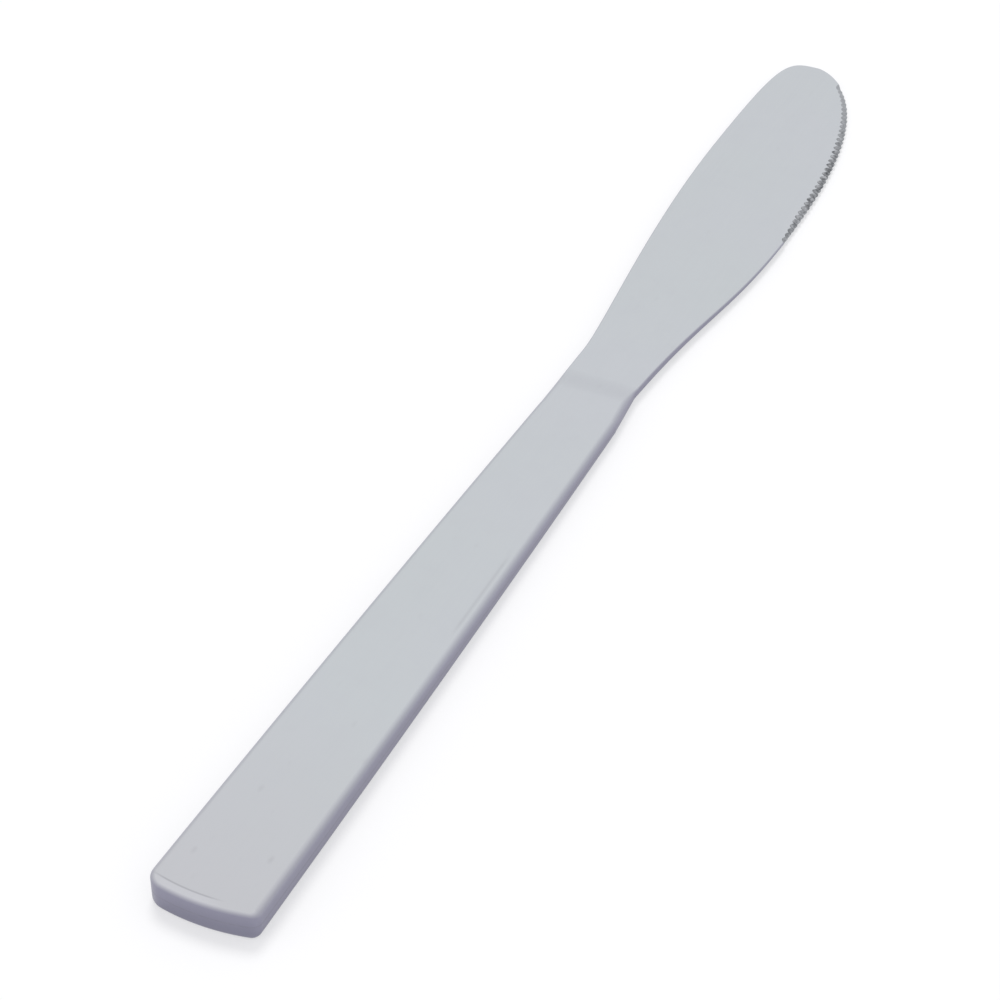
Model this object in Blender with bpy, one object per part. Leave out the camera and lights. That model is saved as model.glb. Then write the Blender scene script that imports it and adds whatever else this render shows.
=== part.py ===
"""A serrated table knife: a ground steel blade whose tang is cemented into a hollow steel handle.

The pieces are drawn along +X, from the handle's butt at x = 0 to the blade's tip, with the spine at +Y
and the cutting edge at -Y. z = 0 is the middle plane of blade and handle, and the two halves of the
handle are the same pressing, mirrored in that plane. The empty named knife carries every piece, and
lays the tapering handle's flat underside level on Z = 0, with the world's origin at its middle.
"""

import math

import bmesh
import bpy
from mathutils import Vector
from mathutils.geometry import interpolate_bezier

MM = 0.001

# Handle, outside
HANDLE_LENGTH = 111.3 * MM
BUTT_WIDTH = 16 * MM
NECK_WIDTH = 12.4 * MM
SIDE_BULGE = 0.22 * MM
BUTT_THICKNESS = 4.2 * MM
NECK_THICKNESS = 2.6 * MM
BUTT_RADIUS = 30 * MM
SPINE_CORNER_RADIUS = 3 * MM
EDGE_CORNER_RADIUS = 1.4 * MM
BUTT_EDGE_RADIUS = 0.5 * MM
SIDE_EDGE_RADIUS = 1 * MM
NECK_EDGE_RADIUS = 0.85 * MM

# Handle, inside
SHELL_WALL = 0.6 * MM
BRAZE_THICKNESS = 0.2 * MM
CEMENT_SETBACK = 1.5 * MM
CEMENT_COVER = 0.25 * MM
FIT_GAP = 0.1 * MM

# Tang
TANG_LENGTH = 50 * MM
TANG_SIDE_ROOM = 1.5 * MM
TANG_END_WIDTH = 4.4 * MM
TANG_END_THICKNESS = 0.8 * MM
TANG_EDGE_RADIUS = 0.1 * MM
NOTCH_DEPTH = 0.7 * MM
NOTCH_WIDTH = 3 * MM
NOTCH_SPACING = 8 * MM
NOTCH_PAIRS = 2

# Bolster, from the full thickness of the handle down to the blade
BOLSTER_LENGTH = 4.5 * MM
RAMP_LENGTH = 5.5 * MM

# Blade, in plan: distances along X from the joint with the handle or back from the tip
BLADE_LENGTH = 108.7 * MM
SPINE_FLARE_START = 15.5 * MM
SPINE_NECK = 6.05 * MM
SPINE_PEAK_FROM_TIP = 30 * MM
SPINE_REACH = 10.8 * MM
EDGE_FLARE_START = 8.5 * MM
EDGE_NECK = 5.45 * MM
EDGE_FLARE_RISE = 1.4 * MM
EDGE_PEAK_FROM_TIP = 46.5 * MM
EDGE_REACH = 10.5 * MM
TIP_OFFSET = 4.1 * MM

# Fullness of the outline's curves, as a share of the span of each
SPINE_FLARE_PULL = 0.13
SPINE_PEAK_PULL = 0.45
SPINE_POINT_PULL = 0.98
SPINE_TIP_PULL = 0.86
EDGE_FLARE_PULL = 0.47
EDGE_PEAK_PULL = 0.5
BELLY_PULL = 0.9
BELLY_TIP_PULL = 0.1

# Blade, in section
BLADE_THICKNESS = 1.7 * MM
TIP_THICKNESS = 0.6 * MM
SPINE_EDGE_RADIUS = 0.25 * MM
HEEL_EDGE_THICKNESS = 1.5 * MM
HEEL_EDGE_RADIUS = 0.2 * MM
GROUND_THICKNESS = 0.5 * MM

# Teeth, ground into the upper face along the cutting edge
SERRATION_FROM_TIP = 57.3 * MM
SERRATED_LENGTH = 50.4 * MM
TOOTH_PITCH = 1.4 * MM
TOOTH_DEPTH = 0.25 * MM
CREST_BEVEL = 0.6 * MM
GULLET_BEVEL = 1.2 * MM
EDGE_LAND = 0.12 * MM

# Finishes: linear colour, roughness and metallic value
BLADE_STEEL = (0.60, 0.62, 0.65), 0.34, 1
HANDLE_STEEL = (0.58, 0.59, 0.61), 0.38, 1
SILVER_BRAZE = (0.62, 0.58, 0.48), 0.4, 1
CEMENT = (0.55, 0.52, 0.47), 0.9, 0

# Facets
CURVE_STEPS = 48
SIDE_STEPS = 8
CORNER_STEPS = 4
BUTT_STEPS = 4
ROUND_STEPS = 3
RAMP_STEPS = 6
HEEL_STEPS = 10
TIP_STEPS = 6
LEAST_RADIUS = 0.05 * MM
SHARP_ANGLE = math.radians(30)

# Sizes that follow from the ones above
SHOULDER_X = HANDLE_LENGTH + FIT_GAP
TIP_X = HANDLE_LENGTH + BLADE_LENGTH
RIM_HEIGHT = BRAZE_THICKNESS / 2 + FIT_GAP
HANDLE_TAPER = (BUTT_THICKNESS - NECK_THICKNESS) / 2 / HANDLE_LENGTH
TANG_END_X = HANDLE_LENGTH - TANG_LENGTH
TANG_ROOT_WIDTH = NECK_WIDTH - 2 * (SHELL_WALL + TANG_SIDE_ROOM)
TANG_ROOT_THICKNESS = NECK_THICKNESS - 2 * (SHELL_WALL + FIT_GAP)


def mix(start, end, share):
    return start + (end - start) * share


def ease(share):
    """A share from 0 to 1 that starts and stops gently."""
    return share * share * (3 - 2 * share)


# Sizes of the handle at a place along it


def half_width(x, corner_x):
    along = (x - corner_x) / (HANDLE_LENGTH - corner_x)
    return mix(BUTT_WIDTH, NECK_WIDTH, along) / 2 + 4 * SIDE_BULGE * along * (1 - along)


def half_thickness(x):
    return BUTT_THICKNESS / 2 - HANDLE_TAPER * x


def edge_radius(x, outward):
    """How round the handle's edge is: full along the sides, small where the outline faces the butt end."""
    side = mix(SIDE_EDGE_RADIUS, NECK_EDGE_RADIUS, x / HANDLE_LENGTH)
    return mix(side, BUTT_EDGE_RADIUS, max(0, -outward.x))


def direction(angle):
    return Vector((math.cos(angle), math.sin(angle)))


def handle_side(front, corner_radius):
    """One side of the handle's outline with its outward directions, from front to the middle of the butt."""
    corner_y = BUTT_WIDTH / 2 - corner_radius
    corner_x = BUTT_RADIUS - math.sqrt((BUTT_RADIUS - corner_radius) ** 2 - corner_y**2)
    corner = Vector((corner_x, corner_y))
    butt_turn = math.atan2(corner_y, BUTT_RADIUS - corner_x)
    path = []
    for step in range(SIDE_STEPS + 1):
        x = mix(front, corner_x, step / SIDE_STEPS)
        path.append((Vector((x, half_width(x, corner_x))), Vector((0, 1))))
    for step in range(1, CORNER_STEPS + 1):
        outward = direction(mix(math.pi / 2, math.pi - butt_turn, step / CORNER_STEPS))
        path.append((corner + outward * corner_radius, outward))
    centre = Vector((BUTT_RADIUS, 0))
    for step in range(1, BUTT_STEPS + 1):
        outward = direction(math.pi - butt_turn * (1 - step / BUTT_STEPS))
        path.append((centre + outward * BUTT_RADIUS, outward))
    return path


def handle_path(front):
    """The handle's outline with its outward directions, from front on the spine side round the butt."""
    across = Vector((1, -1))
    edge_side = handle_side(front, EDGE_CORNER_RADIUS)[:-1]
    turned = [(point * across, outward * across) for point, outward in reversed(edge_side)]
    return handle_side(front, SPINE_CORNER_RADIUS) + turned


def round_corner(radius):
    """How far in from the side and down from the face each point of a rounded corner lies, side first."""
    angles = [math.pi / 2 * step / ROUND_STEPS for step in range(ROUND_STEPS + 1)]
    return [(radius * (1 - math.cos(angle)), radius * (1 - math.sin(angle))) for angle in angles]


def cover_loops(path, skin, rim):
    """Lines round the handle, a skin's depth inside its surface, from the rim up to the flat face."""
    loops = [[] for _ in range(ROUND_STEPS + 2)]
    for point, outward in path:
        corner = round_corner(max(edge_radius(point.x, outward) - skin, LEAST_RADIUS))
        wall_foot = point - outward * skin
        loops[0].append(Vector((*wall_foot, rim)))
        for loop, (inset, drop) in zip(loops[1:], corner):
            place = wall_foot - outward * inset
            loop.append(Vector((*place, half_thickness(place.x) - skin - drop)))
    return loops


# Meshes


def add_loops(mesh, loops, side=1):
    """The loops as vertices, turned over to the underside where side is -1."""
    return [[mesh.verts.new((p.x, p.y, p.z * side)) for p in loop] for loop in loops]


def add_strips(mesh, loops):
    for lower, upper in zip(loops, loops[1:]):
        for k in range(len(lower) - 1):
            mesh.faces.new((lower[k], lower[k + 1], upper[k + 1], upper[k]))


def add_flat(mesh, loop):
    """The flat face inside a loop that runs down one side of the handle and up the other."""
    last = len(loop) - 1
    for k in range(last // 2 - 1):
        mesh.faces.new((loop[k], loop[k + 1], loop[last - k - 1], loop[last - k]))
    middle = last // 2
    mesh.faces.new((loop[middle - 1], loop[middle], loop[middle + 1]))


def add_loft(mesh, rings):
    """A closed body through a row of rings that have as many points each."""
    rings = add_loops(mesh, rings)
    for ring, following in zip(rings, rings[1:]):
        for k in range(len(ring)):
            after = (k + 1) % len(ring)
            mesh.faces.new((ring[k], ring[after], following[after], following[k]))
    mesh.faces.new(rings[0])
    mesh.faces.new(rings[-1])


def make_object(name, mesh, finish, parent):
    bmesh.ops.recalc_face_normals(mesh, faces=mesh.faces)
    data = bpy.data.meshes.new(name)
    mesh.to_mesh(data)
    mesh.free()
    data.shade_smooth()
    data.set_sharp_from_angle(angle=SHARP_ANGLE)
    data.materials.append(finish)
    made = bpy.data.objects.new(name, data)
    made.parent = parent
    bpy.context.scene.collection.objects.link(made)
    return made


def make_finish(name, colour, roughness, metallic):
    finish = bpy.data.materials.new(name)
    finish.use_nodes = True
    shader = finish.node_tree.nodes["Principled BSDF"]
    shader.inputs["Base Color"].default_value = (*colour, 1)
    shader.inputs["Roughness"].default_value = roughness
    shader.inputs["Metallic"].default_value = metallic
    return finish


# Blade


def outline(start, flare, flare_rise, peak, tip, pulls):
    """One side of the blade in plan: along the neck, out in a flare to its widest, then to the tip."""
    flare_pull, peak_pull, point_pull, tip_pull = pulls
    flare_handle = flare + Vector(((peak.x - flare.x) * flare_pull, flare_rise))
    swell_handle = peak - Vector(((peak.x - flare.x) * peak_pull, 0))
    point_handle = peak + Vector(((tip.x - peak.x) * point_pull, 0))
    tip_handle = tip + Vector((0, (peak.y - tip.y) * tip_pull))
    swell = interpolate_bezier(flare, flare_handle, swell_handle, peak, CURVE_STEPS)
    point = interpolate_bezier(peak, point_handle, tip_handle, tip, CURVE_STEPS)
    return [start, *swell, *point[1:]]


def spine_line():
    return outline(
        Vector((SHOULDER_X, NECK_WIDTH / 2)),
        Vector((HANDLE_LENGTH + SPINE_FLARE_START, SPINE_NECK)),
        0,
        Vector((TIP_X - SPINE_PEAK_FROM_TIP, SPINE_REACH)),
        Vector((TIP_X, TIP_OFFSET)),
        (SPINE_FLARE_PULL, SPINE_PEAK_PULL, SPINE_POINT_PULL, SPINE_TIP_PULL),
    )


def edge_line():
    return outline(
        Vector((SHOULDER_X, -NECK_WIDTH / 2)),
        Vector((HANDLE_LENGTH + EDGE_FLARE_START, -EDGE_NECK)),
        -EDGE_FLARE_RISE,
        Vector((TIP_X - EDGE_PEAK_FROM_TIP, -EDGE_REACH)),
        Vector((TIP_X, TIP_OFFSET)),
        (EDGE_FLARE_PULL, EDGE_PEAK_PULL, BELLY_PULL, BELLY_TIP_PULL),
    )


def line_length(line):
    return sum((after - before).length for before, after in zip(line, line[1:]))


def point_along(line, distance):
    for before, after in zip(line, line[1:]):
        stretch = (after - before).length
        if distance <= stretch:
            return before.lerp(after, distance / stretch)
        distance -= stretch
    return line[-1]


def section(spine, edge, spine_side, edge_top, edge_bottom):
    """A ring across the blade: each side lists (distance in from the outline, height), outline first."""
    inward = (edge - spine).normalized()
    over = [(spine + inward * inset, height) for inset, height in spine_side]
    over += [(edge - inward * inset, height) for inset, height in reversed(edge_top)]
    under = [(edge - inward * inset, height) for inset, height in edge_bottom]
    under += [(spine + inward * inset, -height) for inset, height in reversed(spine_side)]
    return [Vector((*place, height)) for place, height in over + under]


def rounded_side(half, radius, width):
    """A side with rounded corners, no rounder than half its thickness or a third of the width allow."""
    radius = min(radius, half, width / 3)
    return [(inset, half - drop) for inset, drop in round_corner(radius)]


def plain_section(spine, edge, spine_half, edge_half, spine_radius, rim_radius):
    width = (edge - spine).length
    edge_side = rounded_side(edge_half, rim_radius, width)
    turned = [(inset, -height) for inset, height in edge_side]
    return section(spine, edge, rounded_side(spine_half, spine_radius, width), edge_side, turned)


def toothed_section(spine, edge, spine_half, bevel, notch):
    """A ring through the ground edge: a bevel from the upper face down to a thin land on the lower face."""
    half = GROUND_THICKNESS / 2
    shares = [step / ROUND_STEPS for step in range(ROUND_STEPS + 1)]
    top = [(mix(notch, bevel, share), mix(EDGE_LAND - half, half, share)) for share in shares]
    bottom = [(mix(notch, bevel, share), -half) for share in shares]
    spine_side = rounded_side(spine_half, SPINE_EDGE_RADIUS, (edge - spine).length)
    return section(spine, edge, spine_side, top, bottom)


def tang_half_width(x):
    """Half the tang's width, less a pair of V notches that key it into the cement."""
    share = (x - TANG_END_X) / TANG_LENGTH
    half = mix(TANG_END_WIDTH, TANG_ROOT_WIDTH, share) / 2
    for pair in range(NOTCH_PAIRS):
        from_middle = abs(x - TANG_END_X - NOTCH_SPACING * (pair + 1))
        half -= NOTCH_DEPTH * max(0, 1 - from_middle / (NOTCH_WIDTH / 2))
    return half


def tang_half_thickness(x):
    share = (x - TANG_END_X) / TANG_LENGTH
    return mix(TANG_END_THICKNESS, TANG_ROOT_THICKNESS, share) / 2


def tang_stations():
    notches = []
    for pair in range(NOTCH_PAIRS):
        middle = TANG_END_X + NOTCH_SPACING * (pair + 1)
        notches += [middle - NOTCH_WIDTH / 2, middle, middle + NOTCH_WIDTH / 2]
    return [TANG_END_X, *notches]


def tang_section(x, half_wide, half_high):
    corners = Vector((x, half_wide)), Vector((x, -half_wide))
    return plain_section(*corners, half_high, half_high, TANG_EDGE_RADIUS, TANG_EDGE_RADIUS)


def tang_rings():
    stations = [*tang_stations(), SHOULDER_X]
    return [tang_section(x, tang_half_width(x), tang_half_thickness(x)) for x in stations]


def blade_rings():
    """Rings from the bolster's shoulder to the tip, at the same share of the way along spine and edge."""
    spine, edge = spine_line(), edge_line()
    length = line_length(edge)
    ramp_end = BOLSTER_LENGTH + RAMP_LENGTH
    teeth_start = length - SERRATION_FROM_TIP

    def at(distance):
        share = distance / length
        return point_along(spine, line_length(spine) * share), point_along(edge, distance)

    def spine_half(distance):
        return mix(BLADE_THICKNESS, TIP_THICKNESS, distance / length) / 2

    def heel_half(distance):
        share = (distance - ramp_end) / (teeth_start - ramp_end)
        return mix(HEEL_EDGE_THICKNESS, GROUND_THICKNESS, max(0, share)) / 2

    rings = []
    ramp = [BOLSTER_LENGTH + RAMP_LENGTH * step / RAMP_STEPS for step in range(RAMP_STEPS)]
    for distance in [0, *ramp]:
        share = ease(max(0, distance - BOLSTER_LENGTH) / RAMP_LENGTH)
        full = half_thickness(SHOULDER_X + distance)
        rings.append(
            plain_section(
                *at(distance),
                mix(full, spine_half(distance), share),
                mix(full, heel_half(distance), share),
                mix(NECK_EDGE_RADIUS, SPINE_EDGE_RADIUS, share),
                mix(NECK_EDGE_RADIUS, HEEL_EDGE_RADIUS, share),
            )
        )
    for step in range(HEEL_STEPS + 1):
        distance = mix(ramp_end, teeth_start, step / HEEL_STEPS)
        halves = spine_half(distance), heel_half(distance)
        rings.append(plain_section(*at(distance), *halves, SPINE_EDGE_RADIUS, HEEL_EDGE_RADIUS))
    half_teeth = 2 * int(SERRATED_LENGTH / TOOTH_PITCH)
    for step in range(1, half_teeth + 1):
        distance = teeth_start + step * TOOTH_PITCH / 2
        gullet = step % 2
        bevel = GULLET_BEVEL if gullet else CREST_BEVEL
        rings.append(toothed_section(*at(distance), spine_half(distance), bevel, TOOTH_DEPTH * gullet))
    teeth_end = teeth_start + half_teeth * TOOTH_PITCH / 2
    for step in range(1, TIP_STEPS):
        distance = mix(teeth_end, length, math.sin(math.pi / 2 * step / TIP_STEPS))
        halves = spine_half(distance), mix(GROUND_THICKNESS, TIP_THICKNESS, step / TIP_STEPS) / 2
        rings.append(plain_section(*at(distance), *halves, SPINE_EDGE_RADIUS, HEEL_EDGE_RADIUS))
    return rings


def make_blade(parent):
    mesh = bmesh.new()
    add_loft(mesh, tang_rings() + blade_rings())
    return make_object("blade", mesh, make_finish("blade_steel", *BLADE_STEEL), parent)


# Handle


def make_shell(name, side, finish, parent):
    """One pressed half of the handle: side is 1 for the upper half and -1 for the lower one."""
    mesh = bmesh.new()
    path = handle_path(HANDLE_LENGTH)
    outer = add_loops(mesh, cover_loops(path, 0, RIM_HEIGHT), side)
    inner = add_loops(mesh, cover_loops(path, SHELL_WALL, RIM_HEIGHT), side)
    for loops in (outer, inner):
        add_strips(mesh, loops)
        add_flat(mesh, loops[-1])
    add_strips(mesh, [outer[0], inner[0]])
    arch = [loop[0] for loop in outer] + [loop[-1] for loop in reversed(outer)]
    arch += [loop[-1] for loop in inner] + [loop[0] for loop in reversed(inner)]
    mesh.faces.new(arch)
    return make_object(name, mesh, finish, parent)


def make_braze(parent):
    """The strip between the rims of the two halves, a fit gap short of them on every side."""
    rings = []
    half = BRAZE_THICKNESS / 2
    for point, outward in handle_path(HANDLE_LENGTH):
        outer = point - outward * FIT_GAP
        inner = point - outward * (SHELL_WALL - FIT_GAP)
        corners = ((outer, -half), (outer, half), (inner, half), (inner, -half))
        rings.append([Vector((*place, height)) for place, height in corners])
    mesh = bmesh.new()
    add_loft(mesh, rings)
    return make_object("seam_braze", mesh, make_finish("silver_braze", *SILVER_BRAZE), parent)


def make_tang_pocket(parent):
    """Cuts the tang's space from the cement: a pocket round its tail, a slot where the cover gets thin."""
    opening_rate = HANDLE_TAPER + (TANG_ROOT_THICKNESS - TANG_END_THICKNESS) / 2 / TANG_LENGTH
    slot_start = HANDLE_LENGTH - (CEMENT_COVER + FIT_GAP) / opening_rate
    stations = [(x, x > slot_start) for x in [*tang_stations(), slot_start, SHOULDER_X]]
    rings = []
    for x, in_slot in sorted([*stations, (slot_start, True)]):
        height = BUTT_THICKNESS if in_slot else tang_half_thickness(x) + FIT_GAP
        room = 2 * FIT_GAP if in_slot else FIT_GAP
        end = x - FIT_GAP if x == TANG_END_X else x
        rings.append(tang_section(end, tang_half_width(x) + room, height))
    mesh = bmesh.new()
    add_loft(mesh, rings)
    pocket = make_object("tang_pocket", mesh, make_finish("cement_cutter", *CEMENT), parent)
    pocket.hide_render = True
    pocket.display_type = "WIRE"
    return pocket


def make_cement(parent):
    """The filling of the hollow handle, a fit gap inside the halves, which closes round the tang."""
    mesh = bmesh.new()
    path = handle_path(HANDLE_LENGTH - CEMENT_SETBACK)
    upper = cover_loops(path, SHELL_WALL + FIT_GAP, 0)
    lower = [[p * Vector((1, 1, -1)) for p in loop] for loop in reversed(upper[1:])]
    loops = add_loops(mesh, lower + upper)
    add_strips(mesh, loops)
    add_flat(mesh, loops[0])
    add_flat(mesh, loops[-1])
    mesh.faces.new([loop[0] for loop in loops] + [loop[-1] for loop in reversed(loops)])
    cement = make_object("handle_cement", mesh, make_finish("cement", *CEMENT), parent)
    cut = cement.modifiers.new("tang_pocket", "BOOLEAN")
    cut.object = make_tang_pocket(parent)
    return cement


def make_knife():
    """The empty that lays the handle's underside level, with its middle at the world's origin."""
    knife = bpy.data.objects.new("knife", None)
    bpy.context.scene.collection.objects.link(knife)
    middle = HANDLE_LENGTH / 2
    tilt = math.atan(HANDLE_TAPER)
    knife.rotation_euler.y = tilt
    under = Vector((middle, 0, -half_thickness(middle)))
    knife.location = -(knife.rotation_euler.to_matrix() @ under)
    return knife


def main():
    for old in list(bpy.data.objects):
        bpy.data.objects.remove(old)
    knife = make_knife()
    make_blade(knife)
    handle_steel = make_finish("handle_steel", *HANDLE_STEEL)
    make_shell("upper_handle_shell", 1, handle_steel, knife)
    make_shell("lower_handle_shell", -1, handle_steel, knife)
    make_braze(knife)
    make_cement(knife)


main()
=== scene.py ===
"""The looks of a serrated table knife: a satin blade with ground teeth, set in a satin steel handle.

Every piece is modelled flat in the knife's own frame: +X from the handle's butt at x = 0 to the blade's
tip, +Y to the spine and -Y to the cutting edge, with z = 0 in the middle plane of blade and handle.
lay_on_table then tilts it by the handle's taper, as the knife lies, with its place in its mesh.
"""

import math

import bmesh
import bpy
from mathutils import Euler, Matrix, Vector
from mathutils.geometry import interpolate_bezier, normal


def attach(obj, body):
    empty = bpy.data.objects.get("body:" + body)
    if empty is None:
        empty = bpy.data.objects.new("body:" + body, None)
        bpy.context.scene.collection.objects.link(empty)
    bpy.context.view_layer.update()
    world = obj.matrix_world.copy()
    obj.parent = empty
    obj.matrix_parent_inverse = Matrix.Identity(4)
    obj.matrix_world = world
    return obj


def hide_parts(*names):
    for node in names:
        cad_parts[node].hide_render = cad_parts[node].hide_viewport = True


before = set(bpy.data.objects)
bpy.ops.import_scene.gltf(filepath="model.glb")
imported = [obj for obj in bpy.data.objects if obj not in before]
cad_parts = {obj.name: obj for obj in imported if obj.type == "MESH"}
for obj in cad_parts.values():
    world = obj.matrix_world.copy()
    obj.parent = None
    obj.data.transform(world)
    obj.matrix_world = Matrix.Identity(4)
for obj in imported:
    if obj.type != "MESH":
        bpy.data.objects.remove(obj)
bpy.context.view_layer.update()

MM = 0.001

# Handle
HANDLE_LENGTH = 111.3 * MM
BUTT_WIDTH = 16 * MM
NECK_WIDTH = 12.4 * MM
SIDE_BULGE = 0.22 * MM
BUTT_THICKNESS = 4.2 * MM
NECK_THICKNESS = 2.6 * MM
BUTT_RADIUS = 30 * MM
SPINE_CORNER_RADIUS = 3 * MM
EDGE_CORNER_RADIUS = 1.4 * MM
BUTT_EDGE_RADIUS = 0.5 * MM
SIDE_EDGE_RADIUS = 1 * MM
NECK_EDGE_RADIUS = 0.85 * MM
SHELL_WALL = 0.6 * MM
BRAZE_THICKNESS = 0.2 * MM

# Tang and bolster
TANG_LENGTH = 50 * MM
TANG_ROOT_WIDTH = 8.2 * MM
TANG_ROOT_THICKNESS = 1.2 * MM
TANG_END_WIDTH = 4.4 * MM
TANG_END_THICKNESS = 0.8 * MM
NOTCH_DEPTH = 0.7 * MM
NOTCH_WIDTH = 3 * MM
NOTCH_SPACING = 8 * MM
NOTCH_PAIRS = 2
BOLSTER_LENGTH = 4.5 * MM
BOLSTER_EDGE_RADIUS = 1 * MM
RAMP_LENGTH = 5.5 * MM

# Blade, in plan
BLADE_LENGTH = 108.7 * MM
SPINE_FLARE_START = 15.5 * MM
SPINE_NECK = 6.05 * MM
SPINE_PEAK_FROM_TIP = 30 * MM
SPINE_REACH = 10.8 * MM
EDGE_FLARE_START = 8.5 * MM
EDGE_NECK = 5.45 * MM
EDGE_FLARE_RISE = 1.4 * MM
EDGE_PEAK_FROM_TIP = 46.5 * MM
EDGE_REACH = 10.5 * MM
TIP_OFFSET = 4.1 * MM

# Fullness of the blade's curves, as a share of the span of each
SPINE_FLARE_PULL = 0.13
SPINE_PEAK_PULL = 0.45
SPINE_POINT_PULL = 0.98
SPINE_TIP_PULL = 0.86
EDGE_FLARE_PULL = 0.47
EDGE_PEAK_PULL = 0.5
BELLY_PULL = 0.9
BELLY_TIP_PULL = 0.1

# Blade, in section
BLADE_THICKNESS = 1.7 * MM
TIP_THICKNESS = 0.6 * MM
GROUND_THICKNESS = 0.5 * MM
SPINE_EDGE_RADIUS = 0.25 * MM
HEEL_EDGE_RADIUS = 0.2 * MM
# The most of the blade's half thickness that the rounding of a rim takes
RIM_SHARE = 0.75

# Teeth, at their full size midway along the row
SERRATION_FROM_TIP = 57.3 * MM
SERRATED_LENGTH = 50.4 * MM
TOOTH_PITCH = 1.4 * MM
TOOTH_DEPTH = 0.25 * MM
GULLET_BEVEL = 1.2 * MM
TOOTH_WHEEL_RADIUS = 1.2 * MM
TOOTH_WHEEL_LENGTH = 6 * MM

# Teeth at the ends of the row, flatter to the tip and smaller to the heel
TIP_TOOTH_DEPTH = 0.08 * MM
TIP_GULLET_BEVEL = 0.8 * MM
TIP_WHEEL_RADIUS = 3 * MM
TIP_TEETH_REACH = 30 * MM
HEEL_TEETH_SHARE = 0.5
HEEL_TEETH_REACH = 9 * MM

# Facets
OUTLINE_STEPS = 48
BELLY_STEPS = 400
RIM_STEPS = 8
RAMP_STEPS = 22
WHEEL_SIDES = 40
SMOOTH_ANGLE = math.radians(32)
LARGE_FACE_WEIGHT = 100

# Slack in the way that a face looks, and in places
FACING_SHARE = 0.9
WALL_SHARE = 0.1
COPLANAR_SHARE = 0.9999999
CUT_SLACK = 1e-7
WELD_GAP = 1e-6
STATION_DIGITS = 6
STATION_SLACK = 5.1e-7

# Directions
UP = Vector((0, 0, 1))
TO_TIP = Vector((1, 0, 0))

# Camera, as fitted to the photograph
CAMERA_PLACE = Vector((-273.5, -149.7, 275.8)) * MM
CAMERA_HEADING = math.radians(26.29)
CAMERA_DIP = math.radians(38.72)
CAMERA_ROLL = math.radians(-0.87)
CAMERA_LENS = 110.98
CAMERA_SENSOR = 36
CAMERA_NEAR = 10 * MM

# Satin steel: tones on its faces
DRIFT_SIZE = 40 * MM
CLOUD_SIZE = 4 * MM
CLOUD_FROM = 0.45
CLOUD_SHARE = 0.35
BUTT_TONE_SHARE = 0.75

# Satin steel: nicks, with their size as a share of their spacing
NICK_SPACING = 6 * MM, 3 * MM, 3 * MM
NICK_SLANT = 0, 0, math.radians(35)
NICK_SIZE = 0.16
NICK_SHARE = 0.08
HELD_NICK_SHARE = 0.4

# Satin steel: lines where the pressing tool stopped, painted as crease shade, and a painted highlight on
# the butt's rim outside
CREASE_SHADE_TONE = "#8E8E96"
PRESS_LINE_INSET = 1.5 * MM
PRESS_LINE_WIDTH = 0.2 * MM
PRESS_LINE_ENDS = -2 * MM, 6.6 * MM
PRESS_LINE_FADE = 1.2 * MM
PRESS_LINE_SHADE_SHARE = 0.5
RIM_HIGHLIGHT_SHARE = 0.2
SIDE_LINE_INSET = 1.4 * MM
SIDE_LINE_WIDTH = 0.4 * MM
SIDE_LINE_ENDS = 3.5 * MM, 20 * MM
SIDE_LINE_FADE = 1.5 * MM
SIDE_LINE_SHADE_SHARE = 0.2

# Satin steel: painted shade on the edges, and brush lines
EDGE_SHADE_TURN = math.radians(1.5)
EDGE_SHADE_FALL = 1.05
BRUSH_LENGTH = 18 * MM
BRUSH_WIDTH = 0.3 * MM
BRUSH_DEPTH = 0.004 * MM
BRUSH_STRENGTH = 0.35
SATIN_ROUGHNESS = 0.3, 0.42

# Ground steel, with painted reflection darkest at one distance from the tip and faded by a share to two
# others
GROUND_GRAIN = 0.6 * MM
GROUND_ROUGHNESS = 0.4
TEETH_SHADE_DARKEST = 31 * MM
TEETH_SHADE_FADED = (6 * MM, 0.85), (53 * MM, 0.4)

# Braze and cement, and the part of a noise that parts light grains from dark ones
BRAZE_GRAIN = 1 * MM
BRAZE_ROUGHNESS = 0.45
CEMENT_GRAIN = 0.4 * MM
CEMENT_ROUGHNESS = 0.9
GRAIN_SPREAD = 0.3, 0.7

# Floor and light
FLOOR_SIZE = 6000 * MM
FLOOR_DROP = 0.01 * MM
FLOOR_ROUGHNESS = 0.9
FLOOR_GLOW = 0.5
LAMP_FROM = Vector((0.5, 0.28, 0.82))
LAMP_LEVEL = 1.2
LAMP_COLOUR = 1, 1, 0.97
LAMP_SPREAD = math.radians(25)
AMBIENT_LEVEL = 0.85
DOME_FROM = 0.3
DOME_LEVELS = 0.96, 1.08
WHITE = 1, 1, 1, 1

# Colour sockets of the Mix node
MIX_A = 6
MIX_B = 7

# Sizes that follow from the ones above
TIP_X = HANDLE_LENGTH + BLADE_LENGTH
HANDLE_TAPER = (BUTT_THICKNESS - NECK_THICKNESS) / 2 / HANDLE_LENGTH
RAMP_START = HANDLE_LENGTH + BOLSTER_LENGTH
RAMP_END = RAMP_START + RAMP_LENGTH
HELD_LENGTH = HANDLE_LENGTH * 3 / 8

# Where butt and tip lie along the table
BUTT_AT = -HANDLE_LENGTH / 2
TIP_AT = TIP_X - HANDLE_LENGTH / 2


def mix(start, end, share):
    return start + (end - start) * share


def ease(share):
    """A share that is held between 0 and 1 and that starts and stops gently."""
    share = min(max(share, 0), 1)
    return share * share * (3 - 2 * share)


# Work at the bench


def take_up(piece):
    """Makes a piece the only one that is selected, so that operators act on it alone."""
    bpy.ops.object.select_all(action="DESELECT")
    piece.select_set(True)
    bpy.context.view_layer.objects.active = piece


def open_mesh(piece):
    take_up(piece)
    bpy.ops.object.mode_set(mode="EDIT")


def close_mesh():
    bpy.ops.object.mode_set(mode="OBJECT")


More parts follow.
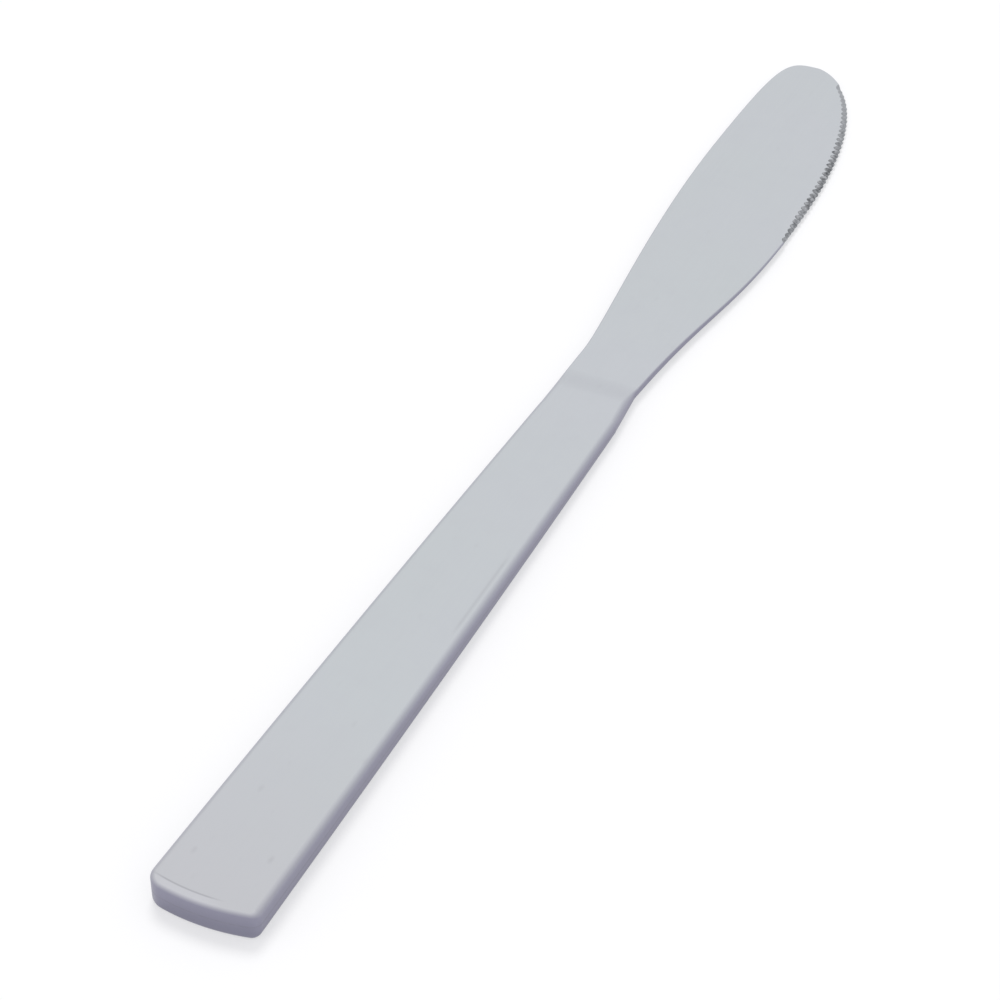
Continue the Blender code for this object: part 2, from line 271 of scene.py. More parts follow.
def pick(piece, kind, wanted):
    """Selects the wanted verts, edges or faces of an open mesh, and returns where their corners lie."""
    bpy.ops.mesh.select_mode(type=kind)
    bpy.ops.mesh.select_all(action="DESELECT")
    mesh = bmesh.from_edit_mesh(piece.data)
    parts = {"VERT": mesh.verts, "EDGE": mesh.edges, "FACE": mesh.faces}[kind]
    for part in parts:
        if wanted(part):
            part.select_set(True)
    mesh.select_flush_mode()
    corners = [corner.co.copy() for corner in mesh.verts if corner.select]
    bmesh.update_edit_mesh(piece.data)
    return corners


def slice_at(place, facing, **how):
    """Cuts the open mesh along a plane."""
    bpy.ops.mesh.select_all(action="SELECT")
    bpy.ops.mesh.bisect(plane_co=place, plane_no=facing, threshold=CUT_SLACK, **how)


def work(piece, kind, **settings):
    """Adds a modifier with its settings and applies it."""
    take_up(piece)
    modifier = piece.modifiers.new(kind.lower(), kind)
    for name, value in settings.items():
        setattr(modifier, name, value)
    bpy.ops.object.modifier_apply(modifier=modifier.name)


def cut_blank(name, corners):
    """A flat blank cut to an outline. Each corner is a place with its handles, None on a straight side."""
    bpy.ops.object.select_all(action="DESELECT")
    bpy.ops.curve.primitive_bezier_curve_add()
    blank = bpy.context.object
    blank.name = name
    blank.data.name = name
    blank.data.resolution_u = OUTLINE_STEPS
    outline = blank.data.splines[0]
    outline.bezier_points.add(len(corners) - len(outline.bezier_points))
    outline.use_cyclic_u = True
    outline.resolution_u = OUTLINE_STEPS
    for point, (place, before, after) in zip(outline.bezier_points, corners):
        point.handle_left_type = "FREE" if before else "VECTOR"
        point.handle_right_type = "FREE" if after else "VECTOR"
        point.co = place.to_3d()
        point.handle_left = (before or place).to_3d()
        point.handle_right = (after or place).to_3d()
    bpy.ops.object.convert(target="MESH")
    open_mesh(blank)
    bpy.ops.mesh.select_all(action="SELECT")
    bpy.ops.mesh.remove_doubles(threshold=WELD_GAP)
    bpy.ops.mesh.edge_face_add()
    bpy.ops.mesh.normals_make_consistent(inside=False)
    close_mesh()
    return blank


def round_rims(piece, is_rim, radius_at, widest):
    """Rounds the rims of a piece, each to the radius at its place."""
    piece.data.attributes.new("bevel_weight_edge", "FLOAT", "EDGE")
    mesh = bmesh.new()
    mesh.from_mesh(piece.data)
    layer = mesh.edges.layers.float["bevel_weight_edge"]
    for edge in mesh.edges:
        if is_rim(edge):
            middle = (edge.verts[0].co + edge.verts[1].co) / 2
            edge[layer] = radius_at(middle) / widest
    mesh.to_mesh(piece.data)
    mesh.free()
    work(
        piece,
        "BEVEL",
        width=widest,
        segments=RIM_STEPS,
        limit_method="WEIGHT",
        use_clamp_overlap=False,
    )


def lay_on_table(piece):
    """Tilts a finished piece so that the handle's underside is level, with its middle at the origin."""
    take_up(piece)
    middle = HANDLE_LENGTH / 2
    under = Vector((middle, 0, HANDLE_TAPER * middle - BUTT_THICKNESS / 2))
    piece.rotation_euler.y = math.atan(HANDLE_TAPER)
    piece.location = -(piece.rotation_euler.to_matrix() @ under)
    bpy.ops.object.transform_apply(location=True, rotation=True, scale=True)


def smooth(piece):
    """Smooth shading that keeps flat faces flat up to their rounded rims."""
    take_up(piece)
    bpy.ops.object.shade_smooth_by_angle(angle=SMOOTH_ANGLE, keep_sharp_edges=True)
    work(piece, "WEIGHTED_NORMAL", keep_sharp=True, weight=LARGE_FACE_WEIGHT)


# Handle


def arc_pull(radius, turn):
    """How far a curve's handle lies from its corner, for an arc of that radius and turn."""
    return 4 / 3 * math.tan(turn / 4) * radius


def corner_centre(radius):
    """The middle of the rounding of that radius between the handle's side and its butt."""
    y = BUTT_WIDTH / 2 - radius
    return Vector((BUTT_RADIUS - math.sqrt((BUTT_RADIUS - radius) ** 2 - y**2), y))


def butt_turn(corner_radius):
    """How far the butt's arc turns from its middle to a corner of that radius."""
    middle = corner_centre(corner_radius)
    return math.atan2(middle.y, BUTT_RADIUS - middle.x)


def handle_side(corner_radius):
    """The corners of the handle's spine side in plan, from the neck to the butt's arc."""
    middle = corner_centre(corner_radius)
    turn = butt_turn(corner_radius)
    length = HANDLE_LENGTH - middle.x
    narrowing = (NECK_WIDTH - BUTT_WIDTH) / 2
    neck = Vector((HANDLE_LENGTH, NECK_WIDTH / 2))
    shoulder = Vector((middle.x, BUTT_WIDTH / 2))
    neck_slope = Vector((-length, -narrowing + 4 * SIDE_BULGE)) / 3
    butt_slope = Vector((length, narrowing + 4 * SIDE_BULGE)) / 3
    outward = Vector((-math.cos(turn), math.sin(turn)))
    along = Vector((-outward.y, outward.x))
    corner = middle + outward * corner_radius
    corner_pull = arc_pull(corner_radius, math.pi / 2 - turn)
    butt_pull = arc_pull(BUTT_RADIUS, butt_turn(SPINE_CORNER_RADIUS) + butt_turn(EDGE_CORNER_RADIUS))
    return [
        (neck, None, neck + neck_slope),
        (shoulder, shoulder + butt_slope, shoulder - Vector((corner_pull, 0))),
        (corner, corner - along * corner_pull, corner + along * butt_pull),
    ]


def handle_outline():
    """The handle's corners in plan, from the neck on the spine side round the butt to the neck again."""
    across = Vector((1, -1))
    edge_side = [
        (place * across, after and after * across, before and before * across)
        for place, before, after in reversed(handle_side(EDGE_CORNER_RADIUS))
    ]
    return handle_side(SPINE_CORNER_RADIUS) + edge_side


def looks(face, way):
    """Whether a face looks that way, give or take some 25 degrees."""
    return face.normal.dot(way) > FACING_SHARE


def is_wall(face):
    return abs(face.normal.z) < WALL_SHARE


def is_open(face):
    """The seam side and the neck end, where a half of the handle has no wall."""
    return looks(face, -UP) or looks(face, TO_TIP)


def handle_rim_radius(place):
    """The handle's rims: full along the sides, small where the outline turns to the butt."""
    side = mix(SIDE_EDGE_RADIUS, NECK_EDGE_RADIUS, place.x / HANDLE_LENGTH)
    radius = SPINE_CORNER_RADIUS if place.y > 0 else EDGE_CORNER_RADIUS
    turned = (corner_centre(radius).x - place.x) / radius
    return mix(side, BUTT_EDGE_RADIUS, min(max(turned, 0), 1))


def press_upper_half():
    """The upper half of the handle, pressed from sheet: a tapered, rounded cover that is hollow inside."""
    half = cut_blank("handle_upper_half", handle_outline())
    open_mesh(half)
    bpy.ops.mesh.select_all(action="SELECT")
    bpy.ops.transform.translate(value=(0, 0, BRAZE_THICKNESS / 2))
    bpy.ops.mesh.extrude_region_move(TRANSFORM_OT_translate={"value": (0, 0, BUTT_THICKNESS)})
    top = Vector((0, 0, BUTT_THICKNESS / 2))
    slice_at(top, (HANDLE_TAPER, 0, 1), clear_outer=True, use_fill=True)
    bpy.ops.mesh.select_all(action="SELECT")
    bpy.ops.mesh.normals_make_consistent(inside=False)
    close_mesh()

    def is_top_rim(edge):
        sides = edge.link_faces
        return any(looks(face, UP) for face in sides) and not any(is_open(face) for face in sides)

    round_rims(half, is_top_rim, handle_rim_radius, SIDE_EDGE_RADIUS)
    open_mesh(half)
    pick(half, "FACE", is_open)
    bpy.ops.mesh.delete(type="FACE")
    close_mesh()
    work(half, "SOLIDIFY", thickness=SHELL_WALL, offset=-1, use_even_offset=True)
    return half


def turn_over(upper):
    """The lower half of the handle: the same pressing, mirrored in the middle plane."""
    take_up(upper)
    bpy.ops.object.duplicate()
    lower = bpy.context.object
    lower.name = "handle_lower_half"
    lower.data.name = lower.name
    open_mesh(lower)
    bpy.ops.mesh.select_all(action="SELECT")
    bpy.ops.transform.resize(value=(1, 1, -1), center_override=(0, 0, 0))
    bpy.ops.mesh.flip_normals()
    close_mesh()
    return lower


def lay_braze():
    """The strip of braze between the rims of the two halves, ground flush with the handle's sides."""
    strip = cut_blank("handle_seam", handle_outline())
    open_mesh(strip)
    bpy.ops.mesh.select_all(action="SELECT")
    bpy.ops.transform.translate(value=(0, 0, -BRAZE_THICKNESS / 2))
    bpy.ops.mesh.extrude_region_move(TRANSFORM_OT_translate={"value": (0, 0, BRAZE_THICKNESS)})
    bpy.ops.mesh.select_all(action="SELECT")
    bpy.ops.mesh.normals_make_consistent(inside=False)
    pick(strip, "FACE", lambda face: looks(face, UP) or is_open(face))
    bpy.ops.mesh.delete(type="FACE")
    close_mesh()
    work(strip, "SOLIDIFY", thickness=SHELL_WALL, offset=-1, use_even_offset=True)
    return strip


# Blade


def blade_corners():
    """The blade's corners in plan, from the shoulder along the spine to the tip and back on the edge."""
    tip = Vector((TIP_X, TIP_OFFSET))
    spine_flare = Vector((HANDLE_LENGTH + SPINE_FLARE_START, SPINE_NECK))
    spine_peak = Vector((TIP_X - SPINE_PEAK_FROM_TIP, SPINE_REACH))
    edge_flare = Vector((HANDLE_LENGTH + EDGE_FLARE_START, -EDGE_NECK))
    edge_peak = Vector((TIP_X - EDGE_PEAK_FROM_TIP, -EDGE_REACH))
    spine_swell = spine_peak.x - spine_flare.x
    edge_swell = edge_peak.x - edge_flare.x
    return [
        (Vector((HANDLE_LENGTH, NECK_WIDTH / 2)), None, None),
        (spine_flare, None, spine_flare + Vector((spine_swell * SPINE_FLARE_PULL, 0))),
        (
            spine_peak,
            spine_peak - Vector((spine_swell * SPINE_PEAK_PULL, 0)),
            spine_peak + Vector((SPINE_PEAK_FROM_TIP * SPINE_POINT_PULL, 0)),
        ),
        (
            tip,
            tip + Vector((0, (spine_peak.y - tip.y) * SPINE_TIP_PULL)),
            tip + Vector((0, (edge_peak.y - tip.y) * BELLY_TIP_PULL)),
        ),
        (
            edge_peak,
            edge_peak + Vector((EDGE_PEAK_FROM_TIP * BELLY_PULL, 0)),
            edge_peak - Vector((edge_swell * EDGE_PEAK_PULL, 0)),
        ),
        (edge_flare, edge_flare + Vector((edge_swell * EDGE_FLARE_PULL, -EDGE_FLARE_RISE)), None),
        (Vector((HANDLE_LENGTH, -NECK_WIDTH / 2)), None, None),
    ]


def belly_line():
    """Points along the cutting edge, from the tip back to the neck."""
    line = []
    tip, belly, heel = blade_corners()[3:6]
    for (start, _, start_handle), (end, end_handle, _) in ((tip, belly), (belly, heel)):
        line += interpolate_bezier(start, start_handle, end_handle, end, BELLY_STEPS)
    return line


def face_plane():
    """A place on the blade's upper face, which falls to the tip and to the edge, and the way it faces."""
    neck = Vector((HANDLE_LENGTH + SPINE_FLARE_START, SPINE_NECK, BLADE_THICKNESS / 2))
    tip = Vector((TIP_X, TIP_OFFSET, TIP_THICKNESS / 2))
    belly = Vector((TIP_X - EDGE_PEAK_FROM_TIP, -EDGE_REACH, GROUND_THICKNESS / 2))
    facing = normal(neck, belly, tip)
    return neck, facing if facing.z > 0 else -facing


def blade_half(place):
    """Half the blade's thickness at a place in plan."""
    on_face, facing = face_plane()
    return on_face.z - ((place.x - on_face.x) * facing.x + (place.y - on_face.y) * facing.y) / facing.z


def blade_rim_radius(place):
    """The blade's rims: full at the bolster, where the bevel evens them to the handle's, small beyond."""
    plain = mix(SPINE_EDGE_RADIUS, HEEL_EDGE_RADIUS, ease(0.5 - place.y / (2 * TIP_OFFSET)))
    plain = min(plain, blade_half(place) * RIM_SHARE)
    return mix(BOLSTER_EDGE_RADIUS, plain, ease((place.x - RAMP_START) / RAMP_LENGTH))


def forge_blade():
    """The blade with its bolster: a wedge-ground blank, swollen to the handle's thickness at the neck."""
    blade = cut_blank("serrated_blade", blade_corners())
    open_mesh(blade)
    bpy.ops.mesh.select_all(action="SELECT")
    bpy.ops.transform.translate(value=(0, 0, -BLADE_THICKNESS))
    bpy.ops.mesh.extrude_region_move(TRANSFORM_OT_translate={"value": (0, 0, 2 * BLADE_THICKNESS)})
    on_face, facing = face_plane()
    below = Vector((1, 1, -1))
    slice_at(on_face, facing, clear_outer=True, use_fill=True)
    slice_at(on_face * below, facing * below, clear_outer=True, use_fill=True)
    bpy.ops.mesh.select_all(action="SELECT")
    bpy.ops.mesh.normals_make_consistent(inside=False)
    ramp = [mix(RAMP_START, RAMP_END, step / RAMP_STEPS) for step in range(RAMP_STEPS + 1)]
    for x in ramp:
        slice_at((x, 0, 0), (1, 0, 0))
    neck = pick(blade, "VERT", lambda v: v.co.x < RAMP_END - WELD_GAP)
    for x in sorted({round(corner.x, STATION_DIGITS) for corner in neck}):
        full = BUTT_THICKNESS / 2 - HANDLE_TAPER * x
        for side in (1, -1):
            ends = pick(blade, "VERT", lambda v: abs(v.co.x - x) < STATION_SLACK and v.co.y * side > 0)
            if ends:
                half = max(end.z for end in ends)
                height = mix(full, half, ease((x - RAMP_START) / RAMP_LENGTH))
                bpy.ops.transform.resize(value=(1, 1, height / half), center_override=(0, 0, 0))
    close_mesh()

    def is_rim(edge):
        walls = [is_wall(face) for face in edge.link_faces]
        return walls.count(True) == 1 and not any(looks(face, -TO_TIP) for face in edge.link_faces)

    round_rims(blade, is_rim, blade_rim_radius, BOLSTER_EDGE_RADIUS)
    return blade


def tang_width(x):
    """The tang's width, less a pair of V notches that key it into the cement."""
    end = HANDLE_LENGTH - TANG_LENGTH
    width = mix(TANG_END_WIDTH, TANG_ROOT_WIDTH, (x - end) / TANG_LENGTH)
    for pair in range(NOTCH_PAIRS):
        from_middle = abs(x - end - NOTCH_SPACING * (pair + 1))
        width -= 2 * NOTCH_DEPTH * max(0, 1 - from_middle / (NOTCH_WIDTH / 2))
    return width


def draw_tang(blade):
    """Draws the tang out of the bolster's shoulder, station by station to its end."""
    end = HANDLE_LENGTH - TANG_LENGTH
    stations = [end]
    for pair in range(NOTCH_PAIRS):
        middle = end + NOTCH_SPACING * (pair + 1)
        stations += [middle - NOTCH_WIDTH / 2, middle, middle + NOTCH_WIDTH / 2]
    open_mesh(blade)
    pick(blade, "FACE", lambda face: looks(face, -TO_TIP))
    rim = (NECK_THICKNESS - TANG_ROOT_THICKNESS) / 2
    bpy.ops.mesh.inset(thickness=rim)
    narrowed = TANG_ROOT_WIDTH / (NECK_WIDTH - 2 * rim)
    bpy.ops.transform.resize(value=(1, narrowed, 1), center_override=(0, 0, 0))
    before, width, height = HANDLE_LENGTH, TANG_ROOT_WIDTH, TANG_ROOT_THICKNESS
    for x in reversed(stations):
        next_height = mix(TANG_END_THICKNESS, TANG_ROOT_THICKNESS, (x - end) / TANG_LENGTH)
        bpy.ops.mesh.extrude_region_move(TRANSFORM_OT_translate={"value": (x - before, 0, 0)})
        bpy.ops.transform.resize(
            value=(1, tang_width(x) / width, next_height / height), center_override=(0, 0, 0)
        )
        before, width, height = x, tang_width(x), next_height
    close_mesh()


def tooth_places():
    """The middle of each gullet on the edge, the way out of the blade, and how far back it lies."""
    line = belly_line()
    count = int(SERRATED_LENGTH / TOOTH_PITCH)
    wanted = [SERRATION_FROM_TIP - TOOTH_PITCH * (tooth + 0.5) for tooth in reversed(range(count))]
    walked = 0
    for before, after in zip(line, line[1:]):
        step = after - before
        if wanted and walked + step.length >= wanted[0]:
            place = before + step.normalized() * (wanted[0] - walked)
            yield place, Vector((-step.y, step.x)).normalized(), wanted[0]
            wanted.pop(0)
        walked += step.length


def grind_teeth(blade, ground):
    """Grinds the gullets into the upper face with a round wheel, side by side, smaller to both ends."""
    bpy.ops.object.select_all(action="DESELECT")
    wheels = []
    for place, out, back in tooth_places():
        half = blade_half(place)
        full = ease(back / TIP_TEETH_REACH)
        size = mix(HEEL_TEETH_SHARE, 1, ease((SERRATION_FROM_TIP - back) / HEEL_TEETH_REACH))
        depth = mix(TIP_TOOTH_DEPTH, TOOTH_DEPTH, full) * size
        bevel = mix(TIP_GULLET_BEVEL, GULLET_BEVEL, full) * size
        radius = mix(TIP_WHEEL_RADIUS, TOOTH_WHEEL_RADIUS, full)
        fall = math.atan(2 * half / (bevel - depth))
        axis = Vector((*(out * math.cos(fall)), -math.sin(fall)))
        over = Vector((*(out * math.sin(fall)), math.cos(fall)))
        root = Vector((*(place - out * depth), -half))
        bpy.ops.mesh.primitive_cylinder_add(
            vertices=WHEEL_SIDES,
            radius=radius,
            depth=TOOTH_WHEEL_LENGTH,
            location=root + over * radius,
            rotation=axis.to_track_quat("Z", "Y").to_euler(),
        )
        bpy.context.object.data.materials.append(ground)
        wheels.append(bpy.context.object)
    for wheel in wheels:
        wheel.select_set(True)
    bpy.ops.object.join()
    grinder = bpy.context.object
    work(blade, "BOOLEAN", object=grinder, use_self=True, material_mode="TRANSFER")
    bpy.data.objects.remove(grinder)
    open_mesh(blade)
    facing = face_plane()[1]
    pick(blade, "FACE", lambda face: face.normal.dot(facing) > COPLANAR_SHARE)
    bpy.ops.mesh.dissolve_faces()
    slot = blade.data.materials.find(ground.name)
    pick(blade, "FACE", lambda face: face.material_index == slot)
    bpy.ops.mesh.region_to_loop()
    bpy.ops.mesh.mark_sharp()
    close_mesh()


# Finishes


def colour(code):
    """A linear colour from an sRGB hex code."""
    shares = [int(code[k : k + 2], 16) / 255 for k in (1, 3, 5)]
    return [s / 12.92 if s <= 0.04045 else ((s + 0.055) / 1.055) ** 2.4 for s in shares] + [1]


def feed(tree, node, inputs):
    """Gives a node its inputs, by name or in order: values or links. A node gives its first live output."""
    named = inputs if isinstance(inputs, dict) else dict(enumerate(inputs))
    for name, value in named.items():
        if isinstance(value, bpy.types.Node):
            value = next(output for output in value.outputs if output.enabled)
        if isinstance(value, bpy.types.NodeSocket):
            tree.links.new(value, node.inputs[name])
        else:
            node.inputs[name].default_value = value


def add_node(tree, kind, inputs=(), **settings):
    """Adds a node with its settings and feeds its inputs."""
    node = tree.nodes.new("ShaderNode" + kind)
    for name, value in settings.items():
        setattr(node, name, value)
    feed(tree, node, inputs)
    return node


def between(tree, value, ends, fade):
    """1 while a value lies between two ends and 0 outside them, with a fade at each."""
    low, high = ends
    risen = add_node(tree, "MapRange", (value, low - fade, low + fade, 0, 1))
    fallen = add_node(tree, "MapRange", (value, high + fade, high - fade, 0, 1))
    return add_node(tree, "Math", (risen, fallen), operation="MULTIPLY")


def thin_line(tree, value, middle, width, share):
    """A share that is full where a value passes the line's middle and fades out within its width."""
    off = add_node(tree, "Math", (value, middle), operation="SUBTRACT")
    off = add_node(tree, "Math", (off,), operation="ABSOLUTE")
    return add_node(tree, "MapRange", (off, 0, width, share, 0))


def start_finish(name):
    """A new finish, with its node tree and its shader."""
    finish = bpy.data.materials.new(name)
    finish.use_nodes = True
    return finish, finish.node_tree, finish.node_tree.nodes["Principled BSDF"]


def mottled_face(tree, place):
    """A slow drift between two near tones, and a finer cloud from handling."""
    drift = add_node(tree, "TexNoise", {"Vector": place, "Scale": 1 / DRIFT_SIZE, "Detail": 2})
    tones = {0: drift, MIX_A: colour("#C4CACC"), MIX_B: colour("#C7C9D0")}
    face = add_node(tree, "Mix", tones, data_type="RGBA")
    cloud = add_node(tree, "TexNoise", {"Vector": place, "Scale": 1 / CLOUD_SIZE, "Detail": 4})
    veil = add_node(tree, "MapRange", (cloud, CLOUD_FROM, 1, 0, CLOUD_SHARE))
    return add_node(tree, "Mix", {0: veil, MIX_A: face, MIX_B: colour("#C0C3C9")}, data_type="RGBA")


def nicked(tree, place, toward_butt, face):
    """Nicks from use, some deep and some faint, most of them where the knife is held."""
    scale = [1 / size for size in NICK_SPACING]
    spread = add_node(tree, "Mapping", {"Vector": place, "Rotation": NICK_SLANT, "Scale": scale})
    cells = add_node(tree, "TexVoronoi", {"Vector": spread, "Scale": 1})
    nick = add_node(tree, "MapRange", (cells.outputs["Distance"], 0, NICK_SIZE, 1, 0))
    wear = add_node(tree, "Math", (toward_butt, HELD_NICK_SHARE, NICK_SHARE), operation="MULTIPLY_ADD")
    wear = add_node(tree, "Math", (nick, wear), operation="MULTIPLY")
    chance = add_node(tree, "SeparateColor", (cells.outputs["Color"],))
    wear = add_node(tree, "Math", (wear, chance), operation="MULTIPLY")
    return add_node(tree, "Mix", {0: wear, MIX_A: face, MIX_B: colour("#96949B")}, data_type="RGBA")


def butt_highlight_and_crease_shade(tree, place, at, face):
    """A painted highlight on the rim at the butt, outside the line where the pressing tool stopped, and
    that line as painted crease shade.
    """
    flat = add_node(tree, "VectorMath", (place, (1, 1, 0)), operation="MULTIPLY")
    centre = BUTT_AT + BUTT_RADIUS, 0, 0
    reach = add_node(tree, "VectorMath", (flat, centre), operation="DISTANCE")
    middle = BUTT_RADIUS - PRESS_LINE_INSET
    rim = add_node(tree, "MapRange", (reach, middle, middle + PRESS_LINE_WIDTH, 0, RIM_HIGHLIGHT_SHARE))
    line = thin_line(tree, reach, middle, PRESS_LINE_WIDTH, PRESS_LINE_SHADE_SHARE)
    near = add_node(tree, "MapRange", (at.outputs["X"], BUTT_AT + 2 * PRESS_LINE_INSET, 0, 1, 0))
    within = between(tree, at.outputs["Y"], PRESS_LINE_ENDS, PRESS_LINE_FADE)
    near = add_node(tree, "Math", (near, within), operation="MULTIPLY")
    # The rim's pale tone is a painted highlight, the line's dark tone a painted crease shade
    for share, tone in ((rim, "#D6D6DE"), (line, CREASE_SHADE_TONE)):
        share = add_node(tree, "Math", (share, near), operation="MULTIPLY")
        face = add_node(tree, "Mix", {0: share, MIX_A: face, MIX_B: colour(tone)}, data_type="RGBA")
    return face


def side_crease_shade(tree, place, at, face):
    """A fainter such line of painted crease shade midway along the edge side."""
    slope = (NECK_WIDTH - BUTT_WIDTH) / 2 / HANDLE_LENGTH
    across = add_node(tree, "VectorMath", (place, (slope, 1, 0)), operation="DOT_PRODUCT")
    middle = SIDE_LINE_INSET - SIDE_BULGE - (BUTT_WIDTH + NECK_WIDTH) / 4
    line = thin_line(tree, across, middle, SIDE_LINE_WIDTH, SIDE_LINE_SHADE_SHARE)
    within = between(tree, at.outputs["X"], SIDE_LINE_ENDS, SIDE_LINE_FADE)
    line = add_node(tree, "Math", (line, within), operation="MULTIPLY")
    return add_node(tree, "Mix", {0: line, MIX_A: face, MIX_B: colour(CREASE_SHADE_TONE)}, data_type="RGBA")


def satin_steel(name):
    """Stainless steel: faces brushed lengthwise to a pale satin, with shade painted darker onto the edges.
    """
    finish, tree, shader = start_finish(name)
    where = add_node(tree, "TexCoord")
    place = where.outputs["Object"]
    at = add_node(tree, "SeparateXYZ", (place,))
    face = mottled_face(tree, place)
    # A little darker and warmer towards the butt
    toward_butt = add_node(tree, "MapRange", (at.outputs["X"], BUTT_AT, BUTT_AT + HELD_LENGTH, BUTT_TONE_SHARE, 0))
    face = add_node(tree, "Mix", {0: toward_butt, MIX_A: face, MIX_B: colour("#C3C3C8")}, data_type="RGBA")
    face = nicked(tree, place, toward_butt, face)
    face = butt_highlight_and_crease_shade(tree, place, at, face)
    face = side_crease_shade(tree, place, at, face)
    # Painted shade: edges darker the more the surface turns away from the flat faces
    upright = add_node(tree, "SeparateXYZ", (where.outputs["Normal"],)).outputs["Z"]
    upright = add_node(tree, "Math", (upright,), operation="ABSOLUTE")
    turn = add_node(tree, "Math", (upright,), operation="ARCCOSINE")
    unshaded_share = add_node(tree, "MapRange", (turn, EDGE_SHADE_TURN, math.pi / 2, 1, 0))
    unshaded_share = add_node(tree, "Math", (unshaded_share, EDGE_SHADE_FALL), operation="POWER")
    tone = add_node(tree, "Mix", {0: unshaded_share, MIX_A: colour("#908FA0"), MIX_B: face}, data_type="RGBA")
    # Brush lines along the knife, drawn coarser than real ones so that they show
    scale = 1 / BRUSH_LENGTH, 1 / BRUSH_WIDTH, 1 / BRUSH_WIDTH
    stretched = add_node(tree, "Mapping", {"Vector": place, "Scale": scale})
    brush = add_node(tree, "TexNoise", {"Vector": stretched, "Scale": 1, "Detail": 2})
    relief = {"Height": brush, "Strength": BRUSH_STRENGTH, "Distance": BRUSH_DEPTH}
    grain = add_node(tree, "Bump", relief)
    roughness = add_node(tree, "MapRange", (brush, 0, 1, *SATIN_ROUGHNESS))
    feed(tree, shader, {"Base Color": tone, "Metallic": 1, "Roughness": roughness, "Normal": grain})
    return finish


def grainy(name, light, dark, grain, metallic, roughness):
    """A dull finish that varies between two tones from grain to grain."""
    finish, tree, shader = start_finish(name)
    place = add_node(tree, "TexCoord").outputs["Object"]
    grains = add_node(tree, "TexNoise", {"Vector": place, "Scale": 1 / grain, "Detail": 3})
    share = add_node(tree, "MapRange", (grains, *GRAIN_SPREAD, 0, 1))
    tone = add_node(tree, "Mix", {0: share, MIX_A: colour(dark), MIX_B: colour(light)}, data_type="RGBA")
    feed(tree, shader, {"Base Color": tone, "Metallic": metallic, "Roughness": roughness})
    return finish


def ground_steel(name):
    """Steel as the wheel leaves it, rough, with painted shade and reflection darkest midway along the
    teeth, paler to both ends.
    """
    finish = grainy(name, "#B2B4B8", "#4A4C50", GROUND_GRAIN, 1, GROUND_ROUGHNESS)
    tree = finish.node_tree
    shader = tree.nodes["Principled BSDF"]
    tone = shader.inputs["Base Color"].links[0].from_socket
    place = add_node(tree, "TexCoord").outputs["Object"]
    x = add_node(tree, "SeparateXYZ", (place,)).outputs["X"]
    for end, share in TEETH_SHADE_FADED:
        shade_faded = add_node(tree, "MapRange", (x, TIP_AT - TEETH_SHADE_DARKEST, TIP_AT - end, 0, share))
        tones = {0: shade_faded, MIX_A: tone, MIX_B: colour("#A8ABB0")}
        tone = add_node(tree, "Mix", tones, data_type="RGBA")
    feed(tree, shader, {"Base Color": tone})
    return finish


def dress():
    """Makes the pieces, gives each its finish and lays them on the table."""
    steel = satin_steel("satin_stainless")
    # Ground steel, rougher than the brushed faces and darker with painted shade and reflection, so that the
    # teeth show as a dotted band
    ground = ground_steel("ground_stainless")
    # Silver braze, ground flush, in the tones of the steel's painted edge shade and hardly warmer, so that
    # the seam hides
    braze = grainy("ground_silver_braze", "#92919F", "#8C8B99", BRAZE_GRAIN, 1, BRAZE_ROUGHNESS)
    # Set cement, sandy and dull
    cement = grainy("set_cement", "#A39B8D", "#857D70", CEMENT_GRAIN, 0, CEMENT_ROUGHNESS)
    upper = press_upper_half()
    lower = turn_over(upper)
    seam = lay_braze()
    blade = forge_blade()
    draw_tang(blade)
    for piece in (upper, lower, blade):
        piece.data.materials.append(steel)
    seam.data.materials.append(braze)
    grind_teeth(blade, ground)
    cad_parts["handle_cement"].material_slots[0].material = cement
    standing_for = (
        (upper, "upper_handle_shell", "handle_steel"),
        (lower, "lower_handle_shell", "handle_steel"),
        (seam, "seam_braze", "silver_braze"),
        (blade, "blade", "blade_steel"),
    )
    for piece, node, slot in standing_for:
        lay_on_table(piece)
        smooth(piece)
        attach(piece, "root")
        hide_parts(node)


# Studio


def seen_rays(tree):
    """1 for rays that see a surface, straight or in metal and glass, and 0 for rays that light it."""
    path = add_node(tree, "LightPath")
    seen = path.outputs["Is Camera Ray"]
    for way in ("Is Glossy Ray", "Is Transmission Ray"):
        seen = add_node(tree, "Math", (seen, path.outputs[way]), operation="MAXIMUM")
    return seen


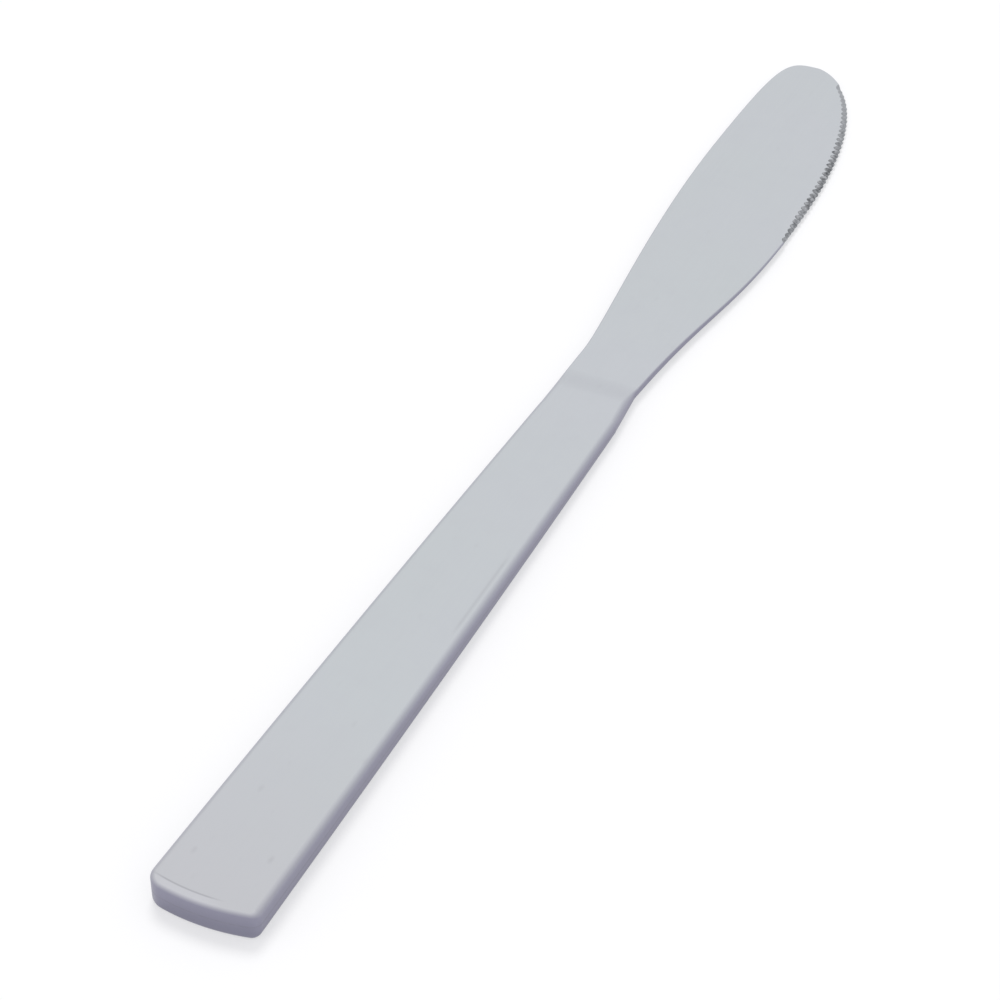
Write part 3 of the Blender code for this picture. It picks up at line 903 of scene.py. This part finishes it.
def set_stage():
    """A plain pale floor under the knife, with a glow that keeps it white and its shadows faint."""
    bpy.ops.object.select_all(action="DESELECT")
    bpy.ops.mesh.primitive_plane_add(size=FLOOR_SIZE, location=(0, 0, -FLOOR_DROP))
    floor = bpy.context.object
    floor.name = "floor"
    finish, tree, shader = start_finish("matt_white_board")
    board = {"Base Color": colour("#FAFAFA"), "Roughness": FLOOR_ROUGHNESS, "Specular IOR Level": 0}
    feed(tree, shader, board)
    glow = add_node(tree, "Emission", {"Color": WHITE, "Strength": 1})
    share = add_node(tree, "Math", (seen_rays(tree), FLOOR_GLOW), operation="MULTIPLY")
    surface = add_node(tree, "MixShader", (share, shader, glow))
    feed(tree, tree.nodes["Material Output"], {"Surface": surface})
    floor.data.materials.append(finish)


def light_studio():
    """An even white surround, and one soft lamp behind the knife that throws its shadow to the front."""
    world = bpy.data.worlds.new("studio")
    bpy.context.scene.world = world
    world.use_nodes = True
    tree = world.node_tree
    seen = seen_rays(tree)
    way = add_node(tree, "TexCoord").outputs["Generated"]
    height = add_node(tree, "SeparateXYZ", (way,)).outputs["Z"]
    level = add_node(tree, "MapRange", (height, DOME_FROM, 1, *DOME_LEVELS))
    dome = add_node(tree, "MapRange", (seen, 0, 1, AMBIENT_LEVEL, level))
    tint = add_node(tree, "Mix", {0: seen, MIX_A: colour("#F2F2F8"), MIX_B: WHITE}, data_type="RGBA")
    feed(tree, tree.nodes["Background"], {"Strength": dome, "Color": tint})
    bpy.ops.object.light_add(type="SUN")
    lamp = bpy.context.object
    lamp.name = "soft_lamp"
    lamp.rotation_euler = LAMP_FROM.to_track_quat("Z", "Y").to_euler()
    lamp.data.energy = LAMP_LEVEL
    lamp.data.color = LAMP_COLOUR
    lamp.data.angle = LAMP_SPREAD
    lamp.visible_glossy = False


def set_camera():
    bpy.ops.object.camera_add(location=CAMERA_PLACE)
    camera = bpy.context.object
    aim = Euler((math.pi / 2 - CAMERA_DIP, 0, CAMERA_HEADING - math.pi / 2)).to_matrix()
    camera.rotation_euler = (aim @ Matrix.Rotation(CAMERA_ROLL, 3, "Z")).to_euler()
    camera.data.lens = CAMERA_LENS
    camera.data.sensor_width = CAMERA_SENSOR
    camera.data.clip_start = CAMERA_NEAR
    bpy.context.scene.camera = camera
    bpy.context.scene.view_settings.view_transform = "Standard"


dress()
set_stage()
light_studio()
set_camera()
